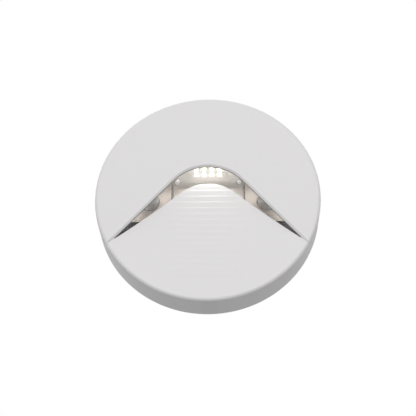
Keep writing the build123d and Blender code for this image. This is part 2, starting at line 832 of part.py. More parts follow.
# ---------------------------------------------------------------- terminal block, its screws, earth tag
terminal_top = plate_front + terminal_height
with BuildPart() as terminal_block:
    with BuildSketch(out_from_wall(plate_front)):
        with Locations((0, terminal_z)):
            Rectangle(terminal_half_width * 2, terminal_half_depth * 2)
    extrude(amount=terminal_height)
    chamfer(terminal_block.faces().sort_by(Axis.Y)[0].edges(), terminal_edge)
    with BuildSketch(out_from_wall(terminal_top)):
        with Locations(*terminal_poles):
            Circle(terminal_well_radius)
    extrude(amount=-terminal_well_depth, mode=Mode.SUBTRACT)
    with BuildSketch(out_from_wall(terminal_top)):
        with Locations(*terminal_fixings):
            Circle(small_head_radius + hole_clearance)
    extrude(amount=terminal_seat - terminal_top, mode=Mode.SUBTRACT)
    with BuildSketch(out_from_wall(terminal_seat)):
        with Locations(*terminal_fixings):
            Circle(small_screw_radius + hole_clearance)
    extrude(amount=-terminal_fixing_seat, mode=Mode.SUBTRACT)
    with BuildSketch(Plane.XY.offset(terminal_z)):
        with Locations(*[(x, -lead_height) for x, z in terminal_poles]):
            Circle(terminal_entry_radius)
    extrude(amount=terminal_half_depth, both=True, mode=Mode.SUBTRACT)
save(terminal_block, "terminal_block")

terminal_screw_foot = terminal_top - terminal_well_depth
with BuildPart() as terminal_screws:
    with BuildSketch(out_from_wall(terminal_screw_foot)):
        with Locations(*terminal_poles):
            Circle(terminal_screw_radius)
    extrude(amount=terminal_screw_height)
    with BuildSketch(out_from_wall(terminal_screw_foot + terminal_screw_height)):
        with Locations(*terminal_poles):
            Rectangle(terminal_screw_radius * 2, terminal_slot_width)
    extrude(amount=-terminal_slot_depth, mode=Mode.SUBTRACT)
save(terminal_screws, "terminal_screws")

terminal_fixing_screws = pan_screws(
    out_from_wall(terminal_seat),
    terminal_fixings,
    small_head_radius,
    small_head_height,
    small_screw_radius,
    terminal_fixing_seat + plate_screw_reach,
)
save(terminal_fixing_screws, "terminal_fixing_screws")

barrel_start = earth_z + tag_barrel_start
with BuildPart() as earth_tag:
    with BuildSketch(out_from_wall(earth_seat)):
        with Locations((earth_x, earth_z)):
            Circle(tag_radius)
        with Locations((earth_x, (earth_z + barrel_start + tag_barrel_length) / 2)):
            Rectangle(tag_neck_half_width * 2, tag_barrel_start + tag_barrel_length)
        with Locations((earth_x, earth_z)):
            Circle(screw_radius + hole_clearance, mode=Mode.SUBTRACT)
    extrude(amount=tag_thickness)
    with BuildSketch(Plane.XY.offset(barrel_start)):
        with Locations((earth_x, -lead_height)):
            Circle(tag_barrel_radius)
    extrude(amount=tag_barrel_length)
    with BuildSketch(Plane.XY.offset(barrel_start)):
        with Locations((earth_x, -lead_height)):
            Circle(lead_radius + lead_crimp_gap)
    extrude(amount=tag_barrel_length, mode=Mode.SUBTRACT)
save(earth_tag, "earth_tag")

earth_screw = pan_screws(
    out_from_wall(earth_seat + tag_thickness),
    [(earth_x, earth_z)],
    screw_head_radius,
    screw_head_height,
    screw_radius,
    tag_thickness + earth_screw_reach,
)
save(earth_screw, "earth_screw")

# ---------------------------------------------------------------- cable grommet
grommet_axis = Axis((grommet_x, 0, grommet_z), (0, 1, 0))
with BuildPart() as cable_grommet:
    with BuildSketch(out_from_wall(plate_back - grommet_flange)):
        with Locations((grommet_x, grommet_z)):
            Circle(grommet_flange_radius)
    extrude(amount=back_plate_thickness + grommet_flange * 2)
    flange_edges = cable_grommet.edges().filter_by(GeomType.CIRCLE)
    chamfer(flange_edges, grommet_edge)
    with BuildSketch(out_from_wall(plate_back)):
        with Locations((grommet_x, grommet_z)):
            Circle(grommet_flange_radius + tool_overrun)
            Circle(grommet_neck_radius, mode=Mode.SUBTRACT)
    extrude(amount=back_plate_thickness, mode=Mode.SUBTRACT)
    with BuildSketch(out_from_wall(0)):
        with Locations((grommet_x, grommet_z)):
            Circle(grommet_bore)
    extrude(amount=casing_depth, mode=Mode.SUBTRACT)
save(cable_grommet, "cable_grommet")

# ---------------------------------------------------------------- leads, all held inside the casing
level = lead_height
lead_live = lead_tube(
    "lead_live",
    [
        (-9, 45.5, level),
        (-9, 40.5, level),
        (-12.5, 36.5, level),
        (-19, 34, level),
        (-25, 31, level),
        (-28.6, 24.5, level),
        (-28.3, 14, level),
        (-28.9, 1, level),
        (-28.4, -11, level),
        (-28.7, -23, level),
        (-28, -31.5, level),
        (-24.5, -36, level),
        (-20.5, -37.5, level),
    ],
)
save(lead_live, "lead_live")

lead_neutral = lead_tube(
    "lead_neutral",
    [
        (0, 45.5, level),
        (0, 40.5, level),
        (-2.5, 36, level),
        (-8, 32.5, level),
        (-15, 31, level),
        (-21.5, 28, level),
        (-25.8, 22, level),
        (-26.3, 12, level),
        (-25.9, 0, level),
        (-26.4, -11, level),
        (-26.1, -19.5, level),
        (-24.8, -26.5, level),
        (-20.5, -30, level),
    ],
)
save(lead_neutral, "lead_neutral")

lead_earth = lead_tube(
    "lead_earth",
    [
        (9, 50.5, level),
        (9, 56.5, level),
        (12.5, 60, level),
        (18, 60, level),
        (22.5, 57, level),
        (earth_x, 51.5, level),
        (earth_x, 45.5, level),
    ],
)
save(lead_earth, "lead_earth")

lamp_lead_end = slope_point(lamp_lead_hole_drop, board_back)
lamp_lead_ends = [(x, lamp_lead_end[1], -lamp_lead_end[0]) for x in lamp_lead_hole_x]
lead_led_positive = lead_tube(
    "lead_led_positive",
    [
        (20.5, -37.5, level),
        (24.5, -36, level),
        (28, -31.5, level),
        (28.7, -23, level),
        (28.4, -11, level),
        (28.9, 1, level),
        (28.3, 12, level),
        (26.6, 19.5, level),
        (21.5, 24, level),
        (15.5, 24.6, level),
        (11.2, 23.6, level),
        (10, 21.4, 9.3),
        lamp_lead_ends[0],
    ],
)
save(lead_led_positive, "lead_led_positive")

lead_led_negative = lead_tube(
    "lead_led_negative",
    [
        (20.5, -30, level),
        (24.8, -26.5, level),
        (26.1, -19.5, level),
        (26.4, -11, level),
        (25.9, 0, level),
        (26.2, 10, level),
        (24.6, 17.5, level),
        (20.9, 21.6, level),
        (17.3, 22.8, level),
        (16, 21.4, 9.3),
        lamp_lead_ends[1],
    ],
)
save(lead_led_negative, "lead_led_negative")
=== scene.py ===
# %% [markdown]
# # A round step light, finished and lit
#
# The light is a flat white drum on a wall. An eyebrow-shaped window is cut into its front, and
# below the window a shallow ramp runs out to the rim and spreads the light down onto the step.
# The drum, the window and everything inside them come from the CAD frame in metres, with the
# wall at Y = 0 and the front facing -Y. This lesson gives each piece its finish, adds the small
# things that CAD leaves out, and sets up the lamps and the camera.

import math

import bmesh
import bpy
from mathutils import Matrix, Vector


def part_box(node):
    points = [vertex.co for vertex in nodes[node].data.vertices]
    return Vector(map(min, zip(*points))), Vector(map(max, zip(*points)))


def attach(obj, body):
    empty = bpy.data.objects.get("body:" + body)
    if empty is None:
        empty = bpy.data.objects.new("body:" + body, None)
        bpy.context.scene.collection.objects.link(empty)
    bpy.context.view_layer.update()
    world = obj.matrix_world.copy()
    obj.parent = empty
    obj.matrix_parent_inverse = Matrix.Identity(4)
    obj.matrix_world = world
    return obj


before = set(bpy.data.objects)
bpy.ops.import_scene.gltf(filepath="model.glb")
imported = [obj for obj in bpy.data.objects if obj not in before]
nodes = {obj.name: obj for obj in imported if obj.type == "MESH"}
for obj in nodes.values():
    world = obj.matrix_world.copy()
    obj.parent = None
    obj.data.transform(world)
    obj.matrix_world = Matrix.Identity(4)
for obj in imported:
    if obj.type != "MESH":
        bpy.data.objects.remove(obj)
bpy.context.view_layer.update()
print("nodes:", len(nodes))

# %% [markdown]
# ## Sizes that the finishes and the small pieces need
#
# Object coordinates run in metres, so a pattern that repeats every 0.4 mm has a scale of 2500.
# Writing `scale_for(0.4)` keeps the real size of each grain in the code. The slope's two
# directions are needed more than once: one runs down the window's face, the other squarely
# behind it.

# %% Sizes
MM = 0.001
window_angle = math.radians(47.6)
down_window = Vector((0.0, math.cos(window_angle), -math.sin(window_angle)))
behind_window = Vector((0.0, math.sin(window_angle), math.cos(window_angle)))
cover_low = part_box("front_cover")[0]
front_y = cover_low[1]
print("front face at", round(front_y / MM, 2), "mm")


def scale_for(size_mm):
    """The texture scale at which one feature is about this many millimetres across."""
    return 1.0 / (size_mm * MM)


# %% [markdown]
# ## Shared effects
#
# Nearly every finish here needs the same two things: a faint, uneven tone, and a fine grain that
# breaks up its gloss. They are made once as node groups, with named inputs, and each material
# sets its own sizes. The groups give out only masks and heights, and the shader stays in the
# material.


# %% A node group builder
def new_group(name, inputs, outputs):
    """An empty shader node group with its input and output sockets, and its two end nodes."""
    group = bpy.data.node_groups.new(name, "ShaderNodeTree")
    for socket, kind, value in inputs:
        made = group.interface.new_socket(socket, in_out="INPUT", socket_type=kind)
        if value is not None:
            made.default_value = value
    for socket, kind in outputs:
        group.interface.new_socket(socket, in_out="OUTPUT", socket_type=kind)
    return group, group.nodes.new("NodeGroupInput"), group.nodes.new("NodeGroupOutput")


# %% Uneven tone: two layers of soft noise, as a mask from 0 to 1
def make_uneven_tone():
    group, start, end = new_group(
        "uneven tone",
        [
            ("Vector", "NodeSocketVector", None),
            ("Broad Scale", "NodeSocketFloat", 30.0),
            ("Fine Scale", "NodeSocketFloat", 400.0),
        ],
        [("Mask", "NodeSocketFloat")],
    )
    broad = group.nodes.new("ShaderNodeTexNoise")
    fine = group.nodes.new("ShaderNodeTexNoise")
    broad.inputs["Detail"].default_value = 2.0
    fine.inputs["Detail"].default_value = 4.0
    mix = group.nodes.new("ShaderNodeMix")
    mix.inputs["Factor"].default_value = 0.35
    link = group.links.new
    link(start.outputs["Vector"], broad.inputs["Vector"])
    link(start.outputs["Vector"], fine.inputs["Vector"])
    link(start.outputs["Broad Scale"], broad.inputs["Scale"])
    link(start.outputs["Fine Scale"], fine.inputs["Scale"])
    link(broad.outputs["Fac"], mix.inputs["A"])
    link(fine.outputs["Fac"], mix.inputs["B"])
    link(mix.outputs["Result"], end.inputs["Mask"])
    return group


uneven_tone = make_uneven_tone()


# %% Grain: rounded bumps of one size over a faint swell of another
def make_grain():
    group, start, end = new_group(
        "grain",
        [
            ("Vector", "NodeSocketVector", None),
            ("Grain Scale", "NodeSocketFloat", 2500.0),
            ("Swell Scale", "NodeSocketFloat", 300.0),
            ("Swell Share", "NodeSocketFloat", 0.4),
        ],
        [("Height", "NodeSocketFloat")],
    )
    grain = group.nodes.new("ShaderNodeTexNoise")
    swell = group.nodes.new("ShaderNodeTexNoise")
    grain.inputs["Detail"].default_value = 3.0
    swell.inputs["Detail"].default_value = 1.0
    mix = group.nodes.new("ShaderNodeMix")
    link = group.links.new
    link(start.outputs["Vector"], grain.inputs["Vector"])
    link(start.outputs["Vector"], swell.inputs["Vector"])
    link(start.outputs["Grain Scale"], grain.inputs["Scale"])
    link(start.outputs["Swell Scale"], swell.inputs["Scale"])
    link(start.outputs["Swell Share"], mix.inputs["Factor"])
    link(grain.outputs["Fac"], mix.inputs["A"])
    link(swell.outputs["Fac"], mix.inputs["B"])
    link(mix.outputs["Result"], end.inputs["Height"])
    return group


grain = make_grain()

# %% [markdown]
# ## A finish from three effects
#
# Paint, rubber, plated steel and plastic differ in colour, gloss and grain, but they are built
# alike: a tone mask blends two close colours and two close roughness values, and the grain
# drives a Bump. One function does that, and each finish below calls it with the sizes of its
# own surface. What differs more, such as the lens, gets its own material.


# %% The finish function
def finish(
    name,
    light,
    dark,
    rough,
    metal=0.0,
    grain_mm=0.4,
    swell_mm=3.0,
    bump_mm=0.01,
    tone_mm=(35.0, 2.0),
    coat=0.0,
    stretch=(1.0, 1.0, 1.0),
):
    """A material whose colour and roughness vary a little and whose surface has a real grain."""
    material = bpy.data.materials.new(name)
    material.use_nodes = True
    tree = material.node_tree
    shader = tree.nodes["Principled BSDF"]
    shader.inputs["Metallic"].default_value = metal
    shader.inputs["Coat Weight"].default_value = coat
    place = tree.nodes.new("ShaderNodeTexCoord")
    mapping = tree.nodes.new("ShaderNodeMapping")
    mapping.inputs["Scale"].default_value = stretch
    tone = tree.nodes.new("ShaderNodeGroup")
    tone.node_tree = uneven_tone
    tone.inputs["Broad Scale"].default_value = scale_for(tone_mm[0])
    tone.inputs["Fine Scale"].default_value = scale_for(tone_mm[1])
    relief = tree.nodes.new("ShaderNodeGroup")
    relief.node_tree = grain
    relief.inputs["Grain Scale"].default_value = scale_for(grain_mm)
    relief.inputs["Swell Scale"].default_value = scale_for(swell_mm)
    colour = tree.nodes.new("ShaderNodeMix")
    colour.data_type = "RGBA"
    colour.inputs[6].default_value = (*dark, 1.0)
    colour.inputs[7].default_value = (*light, 1.0)
    gloss = tree.nodes.new("ShaderNodeMapRange")
    gloss.inputs["To Min"].default_value = rough[0]
    gloss.inputs["To Max"].default_value = rough[1]
    bump = tree.nodes.new("ShaderNodeBump")
    bump.inputs["Distance"].default_value = bump_mm * MM
    bump.inputs["Strength"].default_value = 1.0
    link = tree.links.new
    link(place.outputs["Object"], mapping.inputs["Vector"])
    link(mapping.outputs["Vector"], tone.inputs["Vector"])
    link(mapping.outputs["Vector"], relief.inputs["Vector"])
    link(tone.outputs["Mask"], colour.inputs[0])
    link(tone.outputs["Mask"], gloss.inputs["Value"])
    link(colour.outputs[2], shader.inputs["Base Color"])
    link(gloss.outputs["Result"], shader.inputs["Roughness"])
    link(relief.outputs["Height"], bump.inputs["Height"])
    link(bump.outputs["Normal"], shader.inputs["Normal"])
    return material


def dress(material, *names):
    """Give one material to each of these CAD nodes."""
    for name in names:
        data = nodes[name].data
        data.materials.clear()
        data.materials.append(material)
    print(material.name, "->", ", ".join(names))


# %% [markdown]
# ## The white cover
#
# The drum is cast in aluminium and powder coated. Powder melts into a skin with a faint
# orange peel of 2 or 3 mm and a much finer grain, so highlights on it are soft. The tone hardly
# varies on a new light.

# %% White powder coat
white_powder_coat = finish(
    "white powder coat",
    light=(0.845, 0.832, 0.838),
    dark=(0.825, 0.815, 0.815),
    rough=(0.44, 0.52),
    grain_mm=0.35,
    swell_mm=2.6,
    bump_mm=0.012,
    tone_mm=(60.0, 4.0),
)
dress(white_powder_coat, "front_cover")

# %% [markdown]
# ## The clear window
#
# The lens is a strip of clear plastic bent to the eyebrow. A plain glass shader refracts every
# ray, and the light of the small lamps behind it would then reach the ramp only by chance. So
# the shader stays glass for the eye, and shadow rays and diffuse rays pass straight through.


# %% Clear lens
def make_clear_lens():
    material = bpy.data.materials.new("clear lens")
    material.use_nodes = True
    tree = material.node_tree
    shader = tree.nodes["Principled BSDF"]
    shader.inputs["Base Color"].default_value = (0.975, 0.97, 0.96, 1.0)
    shader.inputs["IOR"].default_value = 1.49
    shader.inputs["Transmission Weight"].default_value = 1.0
    place = tree.nodes.new("ShaderNodeTexCoord")
    haze = tree.nodes.new("ShaderNodeGroup")
    haze.node_tree = uneven_tone
    haze.inputs["Broad Scale"].default_value = scale_for(20.0)
    haze.inputs["Fine Scale"].default_value = scale_for(1.5)
    gloss = tree.nodes.new("ShaderNodeMapRange")
    gloss.inputs["To Min"].default_value = 0.04
    gloss.inputs["To Max"].default_value = 0.08
    rays = tree.nodes.new("ShaderNodeLightPath")
    either = tree.nodes.new("ShaderNodeMath")
    either.operation = "MAXIMUM"
    clear = tree.nodes.new("ShaderNodeBsdfTransparent")
    clear.inputs["Color"].default_value = (0.94, 0.935, 0.925, 1.0)
    mix = tree.nodes.new("ShaderNodeMixShader")
    out = tree.nodes["Material Output"]
    link = tree.links.new
    link(place.outputs["Object"], haze.inputs["Vector"])
    link(haze.outputs["Mask"], gloss.inputs["Value"])
    link(gloss.outputs["Result"], shader.inputs["Roughness"])
    link(rays.outputs["Is Shadow Ray"], either.inputs[0])
    link(rays.outputs["Is Diffuse Ray"], either.inputs[1])
    link(either.outputs["Value"], mix.inputs["Fac"])
    link(shader.outputs["BSDF"], mix.inputs[1])
    link(clear.outputs["BSDF"], mix.inputs[2])
    link(mix.outputs["Shader"], out.inputs["Surface"])
    return material


clear_lens = make_clear_lens()
dress(clear_lens, "window_lens")

# %% [markdown]
# ## Rubber, foam and black metal
#
# The ring seal and the cable grommet are moulded rubber, nearly black and matt. The lens gasket
# is rubber given a paler grey than its own: painted glow that stands in for the lamps' light on it.
# It shows as a thin line along the eyebrow and pales further where the lamps reach it.
# The ring against the wall is closed-cell foam, whose cut edge shows cells of about half a
# millimetre. The back plate is cast and coated like the cover, in black.

# %% Dark finishes
black_rubber = finish(
    "black rubber",
    light=(0.070, 0.068, 0.066),
    dark=(0.040, 0.040, 0.041),
    rough=(0.50, 0.66),
    grain_mm=0.25,
    bump_mm=0.015,
)
dress(black_rubber, "back_plate_seal", "cable_grommet")

# Painted glow: the lens gasket's grey is lighter than its rubber, to stand in for the lamps' light
# on it.
glow_paled_rubber = finish(
    "glow-paled rubber",
    light=(0.32, 0.31, 0.295),
    dark=(0.24, 0.232, 0.222),
    rough=(0.46, 0.62),
    grain_mm=0.25,
    bump_mm=0.012,
)
dress(glow_paled_rubber, "lens_gasket")

grey_foam = finish(
    "grey foam",
    light=(0.20, 0.20, 0.205),
    dark=(0.09, 0.09, 0.095),
    rough=(0.85, 0.95),
    grain_mm=0.5,
    swell_mm=0.9,
    bump_mm=0.12,
    tone_mm=(6.0, 0.6),
)
dress(grey_foam, "wall_gasket")

black_powder_coat = finish(
    "black powder coat",
    light=(0.050, 0.050, 0.052),
    dark=(0.032, 0.032, 0.034),
    rough=(0.46, 0.60),
    grain_mm=0.3,
    swell_mm=1.4,
    bump_mm=0.03,
)
dress(black_powder_coat, "back_plate")

# %% [markdown]
# ## Bare and plated metal
#
# The wall bracket is punched from zinc-plated strip, whose rolling marks run along its length.
# Stretching the texture along X turns round grains into those fine lines. The screws are
# stainless and turned, the terminal screws are brass.

# %% Steel, brass and tinned copper
zinc_plate = finish(
    "zinc plate",
    light=(0.72, 0.73, 0.75),
    dark=(0.52, 0.53, 0.56),
    rough=(0.28, 0.46),
    metal=1.0,
    grain_mm=0.3,
    swell_mm=2.0,
    bump_mm=0.006,
    tone_mm=(9.0, 0.8),
    stretch=(0.08, 1.0, 1.0),
)
dress(zinc_plate, "wall_bracket")

stainless = finish(
    "stainless",
    light=(0.70, 0.69, 0.68),
    dark=(0.56, 0.55, 0.55),
    rough=(0.22, 0.36),
    metal=1.0,
    grain_mm=0.15,
    swell_mm=1.0,
    bump_mm=0.004,
    tone_mm=(3.0, 0.4),
)
dress(
    stainless,
    "back_plate_screws",
    "side_screws",
    "lamp_bracket_screws",
    "led_board_screws",
    "tray_screws",
    "driver_board_screws",
    "terminal_fixing_screws",
)

brass = finish(
    "brass",
    light=(0.80, 0.62, 0.30),
    dark=(0.62, 0.45, 0.20),
    rough=(0.22, 0.38),
    metal=1.0,
    grain_mm=0.2,
    swell_mm=1.0,
    bump_mm=0.004,
    tone_mm=(3.0, 0.4),
)
dress(brass, "terminal_screws", "earth_screw")

tinned_copper = finish(
    "tinned copper",
    light=(0.76, 0.75, 0.72),
    dark=(0.60, 0.58, 0.55),
    rough=(0.30, 0.48),
    metal=1.0,
    grain_mm=0.3,
    swell_mm=1.0,
    bump_mm=0.006,
    tone_mm=(3.0, 0.5),
)
dress(tinned_copper, "earth_tag")

# %% [markdown]
# ## The lamp bracket
#
# The sheet that carries the lamp board is brushed aluminium. Its brush lines run across the
# light, so the texture is stretched along X like the plated strip.

# %% Brushed aluminium
brushed_aluminium = finish(
    "brushed aluminium",
    light=(0.86, 0.81, 0.76),
    dark=(0.77, 0.72, 0.67),
    rough=(0.52, 0.66),
    metal=0.65,
    grain_mm=0.12,
    swell_mm=1.5,
    bump_mm=0.004,
    tone_mm=(14.0, 0.8),
    stretch=(0.12, 1.0, 1.0),
)
dress(brushed_aluminium, "lamp_bracket")

# %% [markdown]
# ## The lamps
#
# Each lamp is a white moulded package with a well of yellow silicone. Lit, the well is far
# brighter than the white around it. A well as bright as the real one would swamp its package in
# the picture, so the wells glow only as far as a photograph holds. A hidden lamp in front of
# them, near the end of this lesson, gives the light that washes the ramp.

# %% Lamp packages and their lit wells
lamp_strength = 2.1
white_package = finish(
    "white lamp package",
    light=(0.88, 0.87, 0.84),
    dark=(0.80, 0.78, 0.74),
    rough=(0.35, 0.50),
    grain_mm=0.1,
    swell_mm=0.8,
    bump_mm=0.004,
    tone_mm=(2.0, 0.3),
)
dress(white_package, "led_packages")

lit_silicone = finish(
    "lit silicone",
    light=(0.95, 0.84, 0.45),
    dark=(0.90, 0.76, 0.36),
    rough=(0.10, 0.22),
    grain_mm=0.2,
    swell_mm=1.0,
    bump_mm=0.01,
    tone_mm=(2.0, 0.3),
)
glow = lit_silicone.node_tree.nodes["Principled BSDF"]
glow.inputs["Emission Color"].default_value = (1.0, 0.95, 0.87, 1.0)
glow.inputs["Emission Strength"].default_value = lamp_strength
dress(lit_silicone, "led_phosphors")

lacquered_board = finish(
    "lacquered aluminium board",
    light=(0.75, 0.72, 0.685),
    dark=(0.68, 0.65, 0.615),
    rough=(0.30, 0.42),
    metal=0.1,
    grain_mm=0.15,
    swell_mm=2.0,
    bump_mm=0.005,
    tone_mm=(8.0, 0.7),
)
dress(lacquered_board, "led_board")

# %% [markdown]
# ## The beige tray
#
# The tray that hides the wiring beside the lamps is moulded plastic with a fine spark-eroded
# texture. Its warm tone tints the ends of the window.

# %% Beige moulded plastic
beige_plastic = finish(
    "beige moulded plastic",
    light=(0.70, 0.635, 0.585),
    dark=(0.63, 0.570, 0.520),
    rough=(0.50, 0.64),
    grain_mm=0.25,
    swell_mm=2.0,
    bump_mm=0.02,
    tone_mm=(18.0, 1.0),
)
dress(beige_plastic, "reflector_tray")

# %% [markdown]
# ## Driver, terminals and leads
#
# None of this shows on a mounted light, but the part can be taken apart, so each piece has the
# finish of the real one: green lacquer over woven laminate, moulded packages, a shrunk sleeve,
# natural nylon and coloured insulation.

# %% Inner pieces
green_lacquer = finish(
    "green board lacquer",
    light=(0.045, 0.23, 0.10),
    dark=(0.025, 0.16, 0.065),
    rough=(0.22, 0.36),
    grain_mm=0.5,
    swell_mm=1.5,
    bump_mm=0.008,
    tone_mm=(5.0, 0.5),
    coat=0.4,
)
dress(green_lacquer, "driver_board")

moulded_epoxy = finish(
    "moulded epoxy",
    light=(0.06, 0.06, 0.06),
    dark=(0.03, 0.03, 0.032),
    rough=(0.42, 0.58),
    grain_mm=0.12,
    bump_mm=0.006,
)
dress(moulded_epoxy, "driver_chip", "driver_rectifier")

shrunk_sleeve = finish(
    "shrunk sleeve",
    light=(0.07, 0.08, 0.20),
    dark=(0.04, 0.045, 0.13),
    rough=(0.18, 0.30),
    grain_mm=0.6,
    bump_mm=0.008,
)
dress(shrunk_sleeve, "driver_capacitor")

ferrite = finish(
    "ferrite",
    light=(0.17, 0.16, 0.155),
    dark=(0.09, 0.088, 0.086),
    rough=(0.55, 0.75),
    grain_mm=0.2,
    bump_mm=0.02,
)
dress(ferrite, "driver_inductor")

fuse_ceramic = finish(
    "fuse ceramic",
    light=(0.84, 0.83, 0.79),
    dark=(0.76, 0.75, 0.71),
    rough=(0.30, 0.44),
    grain_mm=0.3,
    bump_mm=0.006,
)
dress(fuse_ceramic, "driver_fuse")

natural_nylon = finish(
    "natural nylon",
    light=(0.84, 0.83, 0.77),
    dark=(0.77, 0.75, 0.69),
    rough=(0.34, 0.48),
    grain_mm=0.4,
    bump_mm=0.008,
)
dress(natural_nylon, "terminal_block")


# %% Lead insulation
def insulation(name, colour):
    """Smooth extruded insulation: a slight bloom in the tone and a fine grain."""
    dark = tuple(channel * 0.8 for channel in colour)
    return finish(
        name, light=colour, dark=dark, rough=(0.26, 0.40), grain_mm=0.5, swell_mm=2.0, bump_mm=0.006
    )


dress(insulation("brown insulation", (0.25, 0.11, 0.05)), "lead_live")
dress(insulation("blue insulation", (0.05, 0.18, 0.48)), "lead_neutral")
dress(insulation("green insulation", (0.12, 0.42, 0.10)), "lead_earth")
dress(insulation("red insulation", (0.56, 0.05, 0.04)), "lead_led_positive")
dress(insulation("black insulation", (0.04, 0.04, 0.04)), "lead_led_negative")

# %% [markdown]
# ## Small pieces that CAD leaves out
#
# Solder, component legs and a copper winding carry no load, so they aren't CAD nodes. Here most
# are meshes built with bmesh, in millimetres from the CAD's own places, and the wires are curves.
# Four shapes make nearly all of them: an outline given some width, a strip that follows a bent
# path, a turned profile and a smooth wire. Each piece then rides on the one body of the light.

# %% Put a piece on the light
def add_piece(name, data, material):
    """Link a finished mesh or curve as a piece of the light, with its material."""
    piece = bpy.data.objects.new(name, data)
    data.materials.append(material)
    bpy.context.collection.objects.link(piece)
    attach(piece, "root")
    print(name, "in", material.name)
    return piece


def piece_mesh(name, draw):
    """A closed mesh in metres from a function that draws into a bmesh in millimetres."""
    build = bmesh.new()
    draw(build)
    bmesh.ops.scale(build, vec=(MM, MM, MM), verts=build.verts)
    bmesh.ops.recalc_face_normals(build, faces=build.faces)
    mesh = bpy.data.meshes.new(name)
    build.to_mesh(mesh)
    build.free()
    return mesh


# %% An outline with some width
def prism(build, outline, across):
    """A solid whose two ends are this outline, one width apart."""
    ends = [[build.verts.new(point + across * share) for point in outline] for share in (-0.5, 0.5)]
    for end in ends:
        build.faces.new(end)
    count = len(outline)
    for here in range(count):
        after = (here + 1) % count
        build.faces.new((ends[0][here], ends[0][after], ends[1][after], ends[1][here]))


# %% A strip along a bent path
def bent_strip(build, path, across, thickness):
    """A strip of one thickness that follows the path; `across` is its width as a vector."""
    rings = []
    for index, point in enumerate(path):
        before = path[max(index - 1, 0)]
        after = path[min(index + 1, len(path) - 1)]
        out = across.normalized().cross((after - before).normalized()) * (thickness / 2)
        sides = (-across / 2 - out, across / 2 - out, across / 2 + out, -across / 2 + out)
        rings.append([build.verts.new(point + side) for side in sides])
    corners = len(rings[0])
    for first, second in zip(rings, rings[1:]):
        for here in range(corners):
            after = (here + 1) % corners
            build.faces.new((first[here], first[after], second[after], second[here]))
    build.faces.new(rings[0])
    build.faces.new(rings[-1])


# %% A turned profile
def turned(build, foot, axis, profile, sides=20):
    """A solid of revolution: the profile gives radius and height, from the foot up."""
    axis = axis.normalized()
    east = axis.orthogonal().normalized()
    north = axis.cross(east)
    rings = []
    for radius, height in profile:
        ring = []
        for step in range(sides):
            turn = 2 * math.pi * step / sides
            spoke = east * math.cos(turn) + north * math.sin(turn)
            ring.append(build.verts.new(foot + axis * height + spoke * radius))
        rings.append(ring)
    for first, second in zip(rings, rings[1:]):
        for here in range(sides):
            after = (here + 1) % sides
            build.faces.new((first[here], first[after], second[after], second[here]))
    build.faces.new(rings[0])
    build.faces.new(rings[-1])


# %% A smooth wire
def wire_curve(name, routes, radius, order=3):
    """Round wires as one curve object; each route is a list of points in millimetres."""
    curve = bpy.data.curves.new(name, "CURVE")
    curve.dimensions = "3D"
    curve.bevel_depth = radius * MM
    curve.bevel_resolution = 2
    curve.resolution_u = 6
    curve.use_fill_caps = True
    for route in routes:
        spline = curve.splines.new("NURBS")
        spline.points.add(len(route) - 1)
        for point, place in zip(spline.points, route):
            point.co = (*(Vector(place) * MM), 1.0)
        spline.order_u = order
        spline.use_endpoint_u = True
    return curve


# %% [markdown]
# ## Solder on the lamp board
#
# Each lamp package is soldered along two of its sides. A fillet climbs from the board to the
# package in a hollow curve, so its outline has a few points on that curve. Bright solder beside
# the lamps is one of the few inner details that can be seen through the lens.

# %% Solder metal
solder = finish(
    "solder",
    light=(0.80, 0.80, 0.79),
    dark=(0.68, 0.68, 0.67),
    rough=(0.18, 0.34),
    metal=1.0,
    grain_mm=0.15,
    swell_mm=0.6,
    bump_mm=0.01,
    tone_mm=(1.5, 0.3),
)

# %% Fillets beside the lamp packages
eyebrow_top = 21.6
eyebrow_crown = Vector((0.0, front_y / MM, eyebrow_top))
right = Vector((1.0, 0.0, 0.0))
board_front = 4.6
package_half = 1.6
lamp_columns = (-7.5, -2.5, 2.5, 7.5)
lamp_drops = (3.9, 7.5)
fillet_reach = 0.42
fillet_rise = 0.45
fillet_length = 2.2
hollow_curve = ((0.0, 0.0), (1.0, 0.0), (0.50, 0.14), (0.20, 0.42), (0.0, 1.0))


def on_slope(x, drop, depth):
    """A point by its distance down the window's slope and behind the window, in millimetres."""
    return eyebrow_crown + right * x + down_window * drop + behind_window * depth


def draw_lamp_solder(build):
    for column in lamp_columns:
        for drop in lamp_drops:
            for side in (-1.0, 1.0):
                foot = on_slope(column + side * package_half, drop, board_front)
                outline = []
                for reach, rise in hollow_curve:
                    outward = right * (side * fillet_reach * reach)
                    outline.append(foot + outward - behind_window * (fillet_rise * rise))
                prism(build, outline, down_window * fillet_length)


add_piece("lamp_solder", piece_mesh("lamp_solder", draw_lamp_solder), solder)

# %% [markdown]
# ## The steps run on to the sides of the ramp
#
# The ramp is a very shallow trough with sixteen low steps across it. The CAD's steps are cut
# along a flat plane, so the rising sides of the trough swallow their ends. The real ones go on
# further. Each end is a thin wedge here, and it starts where it stands exactly as high as the
# step that it continues.

# %% Where the ramp is
ramp_tilt = math.radians(6.0)
ramp_radius = 575.0
ramp_foot_z = -68.5
look_from = 1.2
look_slack = 0.3
ramp_foot = Vector((0.0, front_y / MM, ramp_foot_z))
up_ramp = Vector((0.0, math.sin(ramp_tilt), math.cos(ramp_tilt)))
out_of_ramp = Vector((0.0, -math.cos(ramp_tilt), math.sin(ramp_tilt)))


def trough(x):
    """How far the trough's side has risen at this distance from the middle, in millimetres."""
    return ramp_radius - math.sqrt(ramp_radius**2 - x**2)


def on_ramp(x, run, height):
    """A point by its distances across the ramp, up it and out of it, in millimetres."""
    return ramp_foot + right * x + up_ramp * run + out_of_ramp * height


def ramp_is_open(x, run):
    """Whether the bare ramp lies at this place: looked for along a short ray."""
    start = on_ramp(x, run, trough(x) + look_from) * MM
    hit, place, _, _ = nodes["front_cover"].ray_cast(start, -out_of_ramp)
    return hit and abs((place - start).length / MM - look_from) < look_slack


